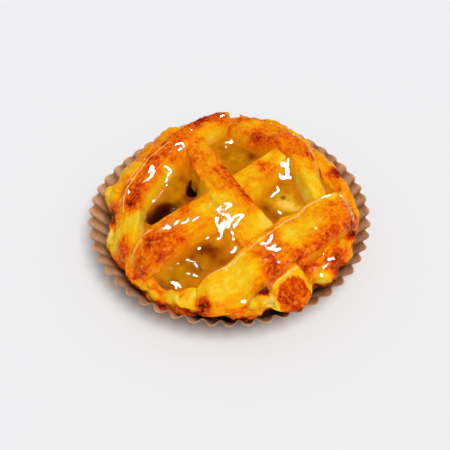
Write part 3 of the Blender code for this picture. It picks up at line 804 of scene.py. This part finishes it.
def make_strip(name, material):
    """A strip of baked dough: a blistered top whose soft sides and ends run down into what is below."""
    seed = 40 * ORDER.index(name)
    points, along, reach, across, fall, top, inside = strip_form(name, seed)
    spots = points[..., :2].copy()
    flank = smooth_step(fall, *FLANK_START)
    flat = 1 - flank
    brown = browning(points, *STRIP_BROWNING_AND_SHADE[name]) + SIDE_BROWNING.get(name, 0.0) * across
    # The edge lines: a small raised glaze ridge, and a painted highlight along it
    edge = smooth_step(strokes(spots, PALE_HIGHLIGHT_LINES), *EDGE_LINE_START)
    edge *= 1 - smooth_step(fall, *EDGE_LINE_FADE)
    edge *= smooth_step(0.9 + 0.9 * gradient_noise(points / 4.0, seed + 7))
    layers = (points[..., 2] - top) * math.tau / LAYER_SPACING
    layers = np.sin(layers + 1.2 * gradient_noise(points / 8.0, seed + 5))
    blister = 1 - np.abs(fractal_noise(points / BLISTER_SIZE, 3, seed + 4))
    grain_space = np.stack([along / GRAIN_LENGTH, reach / GRAIN_WIDTH, np.full_like(reach, seed)], -1)

    moved = waves(points, STRIP_WAVES, seed + 1)
    moved += GRAIN_HEIGHT * gradient_noise(grain_space, seed + 3)
    moved += BLISTER_HEIGHT * (blister - 0.7) * np.clip(brown * 2.2 - 0.7, 0.15, 1.0) * flat
    moved += LAYER_HEIGHT * layers * flank * (1 - fall) + EDGE_LINE_HEIGHT * edge
    points += grid_normals(points) * moved[..., None]

    streak_space = np.stack([along / STREAK_LENGTH, reach / STREAK_WIDTH, np.full_like(reach, seed + 9)], -1)
    brown += patched(spots, SCORCHED_PATCHES)
    brown += PATCHY_BROWNING * fractal_noise(points / PATCHY_SIZE, 3, seed + 6)
    brown += BLISTER_BROWNING * (blister - 0.72) * flat
    brown += STREAK_BROWNING * gradient_noise(streak_space) * flat
    attributes = {
        "brown": np.maximum(brown - FLANK_PALENESS * flank, PALEST),
        "edge": edge,
        # Feet: soaked colour, with painted shade where the sides run into the filling
        "foot": smooth_step(fall, *FOOT_START) * inside,
        "shine": strokes(points[..., :2], SHINE),
    }
    obj = grid_object(name + "_dough", points, attributes, capped=True)
    finish_piece(obj, material, name)


def seat_strips(points, beyond):
    """Raises the shell under the strips that rest on it, and keeps it below the lowest of them."""
    spots = points[..., :2].copy()
    for name in ORDER:
        seat = strip_top(name, spots, beyond) - SHELL_SEAT
        close = smooth_step(1 - beyond[name] / SHELL_SEAT_WIDTH) * smooth_step(points[..., 2], *SEAT_START)
        points[..., 2] += np.maximum(0.0, seat - points[..., 2]) * close
    points[..., 2] = np.minimum(points[..., 2], lowest_top(spots, beyond, SEAT_MARGIN) - SHELL_SEAT)


def make_shell(material):
    """The shortcrust shell with its crumbly rim."""
    path = smooth_path([(radius, height, 0.0) for radius, height in SHELL_PROFILE])
    profile = resampled(path, np.linspace(length_along(path)[-1], 0, SHELL_ROWS))
    angle = np.arange(SHELL_STEPS) / SHELL_STEPS * math.tau
    radius = np.broadcast_to(profile[:, None, 0], (SHELL_ROWS, SHELL_STEPS)).copy()
    height = np.broadcast_to(profile[:, None, 1], radius.shape).copy()
    inner = 1 - np.arange(1, SHELL_ROWS + 1)[:, None] / SHELL_ROWS
    share = smooth_step(height, *CRUMB_START) * (1 - smooth_step(inner, *CRUMB_END))
    for centre, half_width, reach, rise in RIM_LUMPS:
        weight = nearness(angle, centre, half_width)[None, :] * share
        radius += reach * weight
        height += rise * weight
    x = PASTRY_CENTRE[0] + radius * np.cos(angle)
    y = PASTRY_CENTRE[1] + radius * np.sin(angle)
    points = np.stack([x, y, height], -1)
    normals = grid_normals(points)

    warped = points + drift(points, *CRUMB_WARP, 1, (301, 302, 303))
    crumb = waves(points, SHELL_GRIT, 312)
    layers = []
    for place, (size, crumb_height) in enumerate(SHELL_CRUMBS):
        layers.append(pebbles(warped / size, 304 + place) - CRUMB_LEVEL)
        crumb += crumb_height * layers[-1]
    spots = points[..., :2].copy()
    seat_strips(points, {name: beyond_strip(spots, name) for name in ORDER})
    points = points + normals * (crumb * share)[..., None]

    brown = browning(points, *SHELL_BROWNING_AND_SHADE) + 0.12 * fractal_noise(points / 5.0, 3, 321)
    # Painted shade in the creases between lumps and grains
    brown -= LUMP_CREASE_SHADE * layers[0] + GRAIN_CREASE_SHADE * layers[1]
    # Darker towards the bottom of the shell
    brown += LOW_DARKENING * (1 - smooth_step(points[..., 2], *LOW_DARKENING_END))
    nothing = np.zeros_like(brown)
    attributes = {"brown": brown, "edge": nothing, "foot": nothing, "shine": strokes(points[..., :2], SHINE)}
    obj = grid_object("shell_crust", points, attributes)
    finish_piece(obj, material, "pastry_shell")


def apple_relief(spots):
    """How far the pieces of apple stand out of the jelly."""
    relief = np.zeros(spots.shape[:-1])
    for x, y, half_length, half_width, turn, rise in APPLE_PIECES:
        offset = spots - (x, y)
        cos, sin = math.cos(math.radians(turn)), math.sin(math.radians(turn))
        along = (offset[..., 0] * cos + offset[..., 1] * sin) / half_length
        across = (offset[..., 1] * cos - offset[..., 0] * sin) / half_width
        relief = np.maximum(relief, rise * (1 - smooth_step(np.hypot(along, across) - APPLE_FLAT)))
    return relief


def make_filling(material):
    """Apple in jelly, which shows between the strips."""
    radius = FILLING_RADIUS * np.linspace(1, SMALLEST_RING, FILLING_RINGS)[:, None]
    angle = np.arange(FILLING_STEPS) / FILLING_STEPS * math.tau
    spots = PASTRY_CENTRE + radius[..., None] * np.stack([np.cos(angle), np.sin(angle)], -1)[None]
    flat = in_plan(spots)
    warp = drift(flat, *FILLING_WARP, 1, (71, 72))
    hollow = np.zeros(spots.shape[:-1])
    for x, y, size, depth in HOLLOWS:
        hollow += depth * (1 - smooth_step(distance(spots + warp / 2, (x, y)) / size - HOLLOW_FLAT))
    beyond = {name: beyond_strip(spots, name) for name in ORDER}
    beside = smooth_step(1 - np.min(list(beyond.values()), axis=0) / FILLET_WIDTH)

    level = dome_height(spots) - FILLING_SINK + apple_relief(spots + warp) - hollow
    level += waves(flat, FILLING_WAVES, 73) + FILLET_RISE * beside**2
    level -= FILLING_EDGE_DROP * edge_fall(radius, FILLING_EDGE_RADIUS, FILLING_EDGE_WIDTH)
    for x, y, size, top in SPILLS:
        level = np.maximum(level, top - SPILL_FALL * (distance(spots, (x, y)) / size) ** 2)
    spill_limit = SPILL_LIMIT - SPILL_EDGE_DROP * edge_fall(radius, SPILL_EDGE_RADIUS, FILLING_EDGE_WIDTH)
    level = np.maximum(np.minimum(level, spill_limit), LOWEST_FILLING)
    highest = lowest_top(spots, beyond, 0.0) - STRIP_THICKNESS + FILLET_OVERLAP + FILLET_RISE
    level = np.minimum(level, highest)
    points = np.concatenate([spots, level[..., None]], -1)
    # Tints of apple and jelly, with some painted shade in the left window
    tint = 0.5 + marked(spots + warp, FILLING_TINTS_AND_SHADE) + 0.12 * fractal_noise(flat / 4.0, 3, 75)
    attributes = {"hollow": hollow, "tint": tint, "beside": beside, "shine": strokes(spots, SHINE)}
    obj = grid_object("apple_jelly", points, attributes)
    finish_piece(obj, material, "apple_filling")


def make_case(material):
    """The thin paper case: pleats that open towards the rim, none quite like the next."""
    columns = FLUTE_COUNT * CASE_POINTS_PER_FLUTE
    angle = np.arange(columns) / columns * math.tau
    share = np.linspace(0, 1, CASE_ROWS)[:, None]
    ring = np.stack([np.cos(angle), np.sin(angle), np.zeros(columns)], -1)
    phase = FLUTE_COUNT * angle + 0.8 * gradient_noise(ring * 4.0, 501)
    depth = FLUTE_DEPTH * (SIDE_FLUTES - (1 - SIDE_FLUTES) * np.sin(angle))
    depth *= 1 + 0.2 * gradient_noise(ring * 6.0, 502)
    pleat = 0.5 - 0.5 * np.cos(phase - 0.35 * np.sin(phase))
    bend = np.zeros(columns)
    for centre, half_width, change in CASE_BENDS:
        bend += change * nearness(angle, centre, half_width)
    outer = CASE_BASE_RADIUS + (CASE_RIM_RADIUS - CASE_BASE_RADIUS + bend) * share
    radius = outer - (depth * pleat) * share**0.8
    height = share * (CASE_HEIGHT - RIM_UNEVENNESS * (1 - gradient_noise(ring * 5.0, 503)) / 2)
    points = np.stack([radius * np.cos(angle), radius * np.sin(angle), height], -1)
    wrinkle = waves(points, PAPER_WRINKLES, 504) * share
    points += grid_normals(points) * wrinkle[..., None]
    base = np.stack([points[0] * (scale, scale, 1) for scale in BASE_RINGS], 0)
    points = np.concatenate([base, points], 0)
    points[..., 2] = np.maximum(points[..., 2], 0.0)
    # Painted shade: how far each point is folded into a pleat
    fold_shade = np.concatenate([np.zeros((len(base), columns)), np.broadcast_to(pleat, radius.shape)], 0)
    obj = grid_object("case_paper", points, {"fold_shade": fold_shade})
    paper = obj.modifiers.new("thickness", "SOLIDIFY")
    paper.thickness = PAPER_THICKNESS * MM
    paper.offset = 1.0
    finish_piece(obj, material, "paper_case")


class Shader:
    """A new material with its Principled shader, and short ways to add nodes to it."""

    def __init__(self, name, **values):
        self.material = bpy.data.materials.new(name)
        self.material.use_nodes = True
        self.tree = self.material.node_tree
        self.main = self.tree.nodes["Principled BSDF"]
        for title, value in values.items():
            self.main.inputs[title.replace("_", " ")].default_value = value
        self.coordinates = self.tree.nodes.new("ShaderNodeTexCoord").outputs["Object"]

    def link(self, source, target):
        self.tree.links.new(source, target)

    def attribute(self, name, output="Fac"):
        node = self.tree.nodes.new("ShaderNodeAttribute")
        node.attribute_name = name
        return node.outputs[output]

    def noise(self, size, detail, roughness):
        """Noise from 0 to 1 with features about size millimetres wide."""
        node = self.tree.nodes.new("ShaderNodeTexNoise")
        node.inputs["Scale"].default_value = 1 / (size * MM)
        node.inputs["Detail"].default_value = detail
        node.inputs["Roughness"].default_value = roughness
        self.link(self.coordinates, node.inputs["Vector"])
        return node.outputs["Fac"]

    def math(self, operation, first, second, clamp=False):
        node = self.tree.nodes.new("ShaderNodeMath")
        node.operation = operation
        node.use_clamp = clamp
        for value, socket in zip((first, second), node.inputs):
            if isinstance(value, (int, float)):
                socket.default_value = value
            else:
                self.link(value, socket)
        return node.outputs[0]

    def add_noise(self, base, noise, strength):
        """The base value with a noise swung evenly about it."""
        swing = self.math("MULTIPLY", self.math("SUBTRACT", self.noise(*noise), 0.5), 2 * strength)
        return self.math("ADD", base, swing)

    def ramp(self, factor, stops):
        """Colours along a factor: stops are place and colour."""
        node = self.tree.nodes.new("ShaderNodeValToRGB")
        ramp = node.color_ramp
        while len(ramp.elements) < len(stops):
            ramp.elements.new(0.5)
        for element, (place, colour) in zip(ramp.elements, stops):
            element.position = place
            element.color = srgb(*colour)
        self.link(factor, node.inputs["Fac"])
        return node.outputs["Color"]

    def rise(self, factor, start, full):
        """0 where the factor is below start, up to 1 where it is full."""
        return self.ramp(factor, [(start, BLACK), (full, WHITE)])

    def tinted(self, base, factor, strength, colour):
        """The base colour, blended towards another one by a factor times a strength."""
        node = self.tree.nodes.new("ShaderNodeMix")
        node.data_type = "RGBA"
        amount, first, second = node.inputs[0], node.inputs[6], node.inputs[7]
        self.link(self.math("MULTIPLY", factor, strength, clamp=True), amount)
        self.link(base, first)
        second.default_value = srgb(*colour)
        return node.outputs[2]

    def bump(self, noise, depth):
        """A bump whose full height range is depth millimetres."""
        node = self.tree.nodes.new("ShaderNodeBump")
        node.inputs["Strength"].default_value = 1.0
        node.inputs["Distance"].default_value = depth * MM
        self.link(self.noise(*noise), node.inputs["Height"])
        return node.outputs["Normal"]

    def vector_math(self, operation, *values):
        node = self.tree.nodes.new("ShaderNodeVectorMath")
        node.operation = operation
        for value, socket in zip(values, node.inputs):
            self.link(value, socket)
        return node.outputs[0]

    def finish(self, colour, grain, depth):
        """The material, with its colour and its grain."""
        self.link(colour, self.main.inputs["Base Color"])
        self.link(self.bump(grain, depth), self.main.inputs["Normal"])
        return self.material

    def glaze(self):
        """The wet glaze's own normal: rippled, and turned to the lamp in the frayed patches that shine."""
        frayed = self.add_noise(self.attribute("shine"), FRAYING, FRAYING_STRENGTH)
        pull = self.math("MULTIPLY", self.rise(frayed, *SHINE_RANGE), SHINE_PULL)
        mirror = self.attribute("mirror_lamp", "Vector")
        turned = self.vector_math("MULTIPLY_ADD", mirror, pull, self.bump(RIPPLES, RIPPLE_DEPTH))
        self.link(self.vector_math("NORMALIZE", turned), self.main.inputs["Coat Normal"])


def pastry_material(name, coat):
    """Baked dough, from yellow through orange to scorched, under a wet glaze; with a painted highlight along
    its edge lines and painted shade at its feet.
    """
    shader = Shader(
        name, Roughness=0.6, Specular_IOR_Level=0.0, Coat_Weight=coat, Coat_Roughness=0.02,
        Coat_IOR=GLAZE_REFRACTION, Subsurface_Weight=0.15, Subsurface_Scale=0.0015,
        Subsurface_Radius=(1.0, 0.45, 0.12),
    )
    brown = shader.attribute("brown")
    patchy = shader.math("MULTIPLY", brown, PATCHY_GAIN, clamp=True)
    swing = shader.add_noise(0.0, CRUST_MOTTLE, CRUST_MOTTLE_STRENGTH)
    swing = shader.add_noise(swing, CRUST_SPECKLE, CRUST_SPECKLE_STRENGTH)
    brown = shader.math("ADD", brown, shader.math("MULTIPLY", swing, patchy))
    colour = shader.ramp(brown, CRUST_COLOURS)
    flecks = shader.rise(shader.noise(*CRUST_FLECKS), *FLECK_RANGE)
    colour = shader.tinted(colour, shader.math("MULTIPLY", flecks, patchy), *FLECK_TINT)
    # Painted shade, with the soaked colour, at the strips' feet
    colour = shader.tinted(colour, shader.attribute("foot"), *FOOT_SOAK_AND_SHADE_TINT)
    # Painted highlight along the glaze ridges at the strips' edges
    colour = shader.tinted(colour, shader.attribute("edge"), *EDGE_HIGHLIGHT_TINT)
    shader.glaze()
    return shader.finish(colour, CRUST_GRAIN, CRUST_GRAIN_DEPTH)


def filling_material():
    """Cooked apple in clear amber jelly, wet; with painted shade in its hollows and beside the strips."""
    shader = Shader(
        "apple_in_jelly", Roughness=0.5, Specular_IOR_Level=0.0, Coat_Weight=0.7, Coat_Roughness=0.0,
        Coat_IOR=GLAZE_REFRACTION, Subsurface_Weight=0.3, Subsurface_Scale=0.003,
        Subsurface_Radius=(1.0, 0.55, 0.12),
    )
    tint = shader.add_noise(shader.attribute("tint"), JELLY_MOTTLE, JELLY_MOTTLE_STRENGTH)
    colour = shader.ramp(tint, FILLING_COLOURS)
    # Painted shade in the jelly beside the strips
    colour = shader.tinted(colour, shader.attribute("beside"), *FILLET_AND_SHADE_TINT)
    # Painted shade, with dark syrup, in the hollows, by their depth
    colour = shader.tinted(colour, shader.attribute("hollow"), *HOLLOW_SYRUP_AND_SHADE_TINT)
    shader.glaze()
    return shader.finish(colour, JELLY_GRAIN, JELLY_GRAIN_DEPTH)


def paper_material():
    """Brown kraft paper with grease stains, and painted shade on its pleats, darker where each is folded in.
    """
    shader = Shader(
        "kraft_paper", Roughness=0.8, Specular_IOR_Level=0.2, Subsurface_Weight=0.1, Subsurface_Scale=0.001,
    )
    # Painted shade on the pleats, with a random tone
    mottle = shader.add_noise(shader.attribute("fold_shade"), PAPER_MOTTLE, PAPER_MOTTLE_STRENGTH)
    colour = shader.ramp(mottle, PAPER_AND_FOLD_SHADE_COLOURS)
    grease = shader.rise(shader.noise(*PAPER_GREASE), *GREASE_RANGE)
    colour = shader.tinted(colour, grease, *GREASE_TINT)
    return shader.finish(colour, PAPER_GRAIN, PAPER_GRAIN_DEPTH)


def make_stage():
    """A pale floor, which isn't part of the object."""
    bpy.ops.mesh.primitive_plane_add(size=FLOOR_SIZE)
    floor = bpy.context.object
    floor.name = "floor"
    shader = Shader("pale_floor", Base_Color=srgb(*FLOOR_COLOUR), Roughness=1.0, Specular_IOR_Level=0.0)
    floor.data.materials.append(shader.material)


def place_light(name, data, place, soft):
    """A light that faces the object; a soft one gives no highlights, and another gives only those."""
    light = bpy.data.objects.new(name, data)
    light.location = place
    light.rotation_euler = (Vector(LIGHT_AIM) - Vector(place)).to_track_quat("-Z", "Y").to_euler()
    light.visible_glossy = not soft
    light.visible_diffuse = soft
    bpy.context.scene.collection.objects.link(light)


def make_lights():
    world = bpy.data.worlds.new("studio")
    world.use_nodes = True
    tree = world.node_tree
    background = tree.nodes["Background"]
    background.inputs["Color"].default_value = srgb(*WHITE)
    mirrored = tree.nodes.new("ShaderNodeLightPath").outputs["Is Glossy Ray"]
    strength = tree.nodes.new("ShaderNodeMapRange")
    strength.inputs["To Min"].default_value = WORLD_STRENGTH
    strength.inputs["To Max"].default_value = WORLD_REFLECTED
    tree.links.new(mirrored, strength.inputs["Value"])
    tree.links.new(strength.outputs["Result"], background.inputs["Strength"])
    bpy.context.scene.world = world
    key = bpy.data.lights.new("softbox", "SUN")
    key.energy = KEY_STRENGTH
    key.angle = math.radians(KEY_ANGLE)
    place_light("softbox", key, KEY_PLACE, soft=True)
    lamp = bpy.data.lights.new("lamp_top", "AREA")
    lamp.size = LAMP_SIZE
    lamp.energy = LAMP_POWER
    place_light("lamp_top", lamp, LAMP_PLACE, soft=False)


def make_camera():
    data = bpy.data.cameras.new("camera")
    data.sensor_width = SENSOR_WIDTH
    data.lens = LENS
    data.clip_start = CLIP_START
    camera = bpy.data.objects.new("camera", data)
    camera.location = Vector(CAMERA_PLACE) * MM
    camera.rotation_euler = (math.radians(90 - CAMERA_ELEVATION), 0.0, 0.0)
    bpy.context.scene.collection.objects.link(camera)
    bpy.context.scene.camera = camera


def main():
    glazed = pastry_material("glazed_pastry", STRIP_COAT)
    for name in ORDER:
        make_strip(name, glazed)
    make_shell(pastry_material("crumbly_crust", SHELL_COAT))
    make_filling(filling_material())
    make_case(paper_material())
    make_stage()
    make_lights()
    make_camera()
    bpy.context.scene.view_settings.view_transform = "Standard"


main()
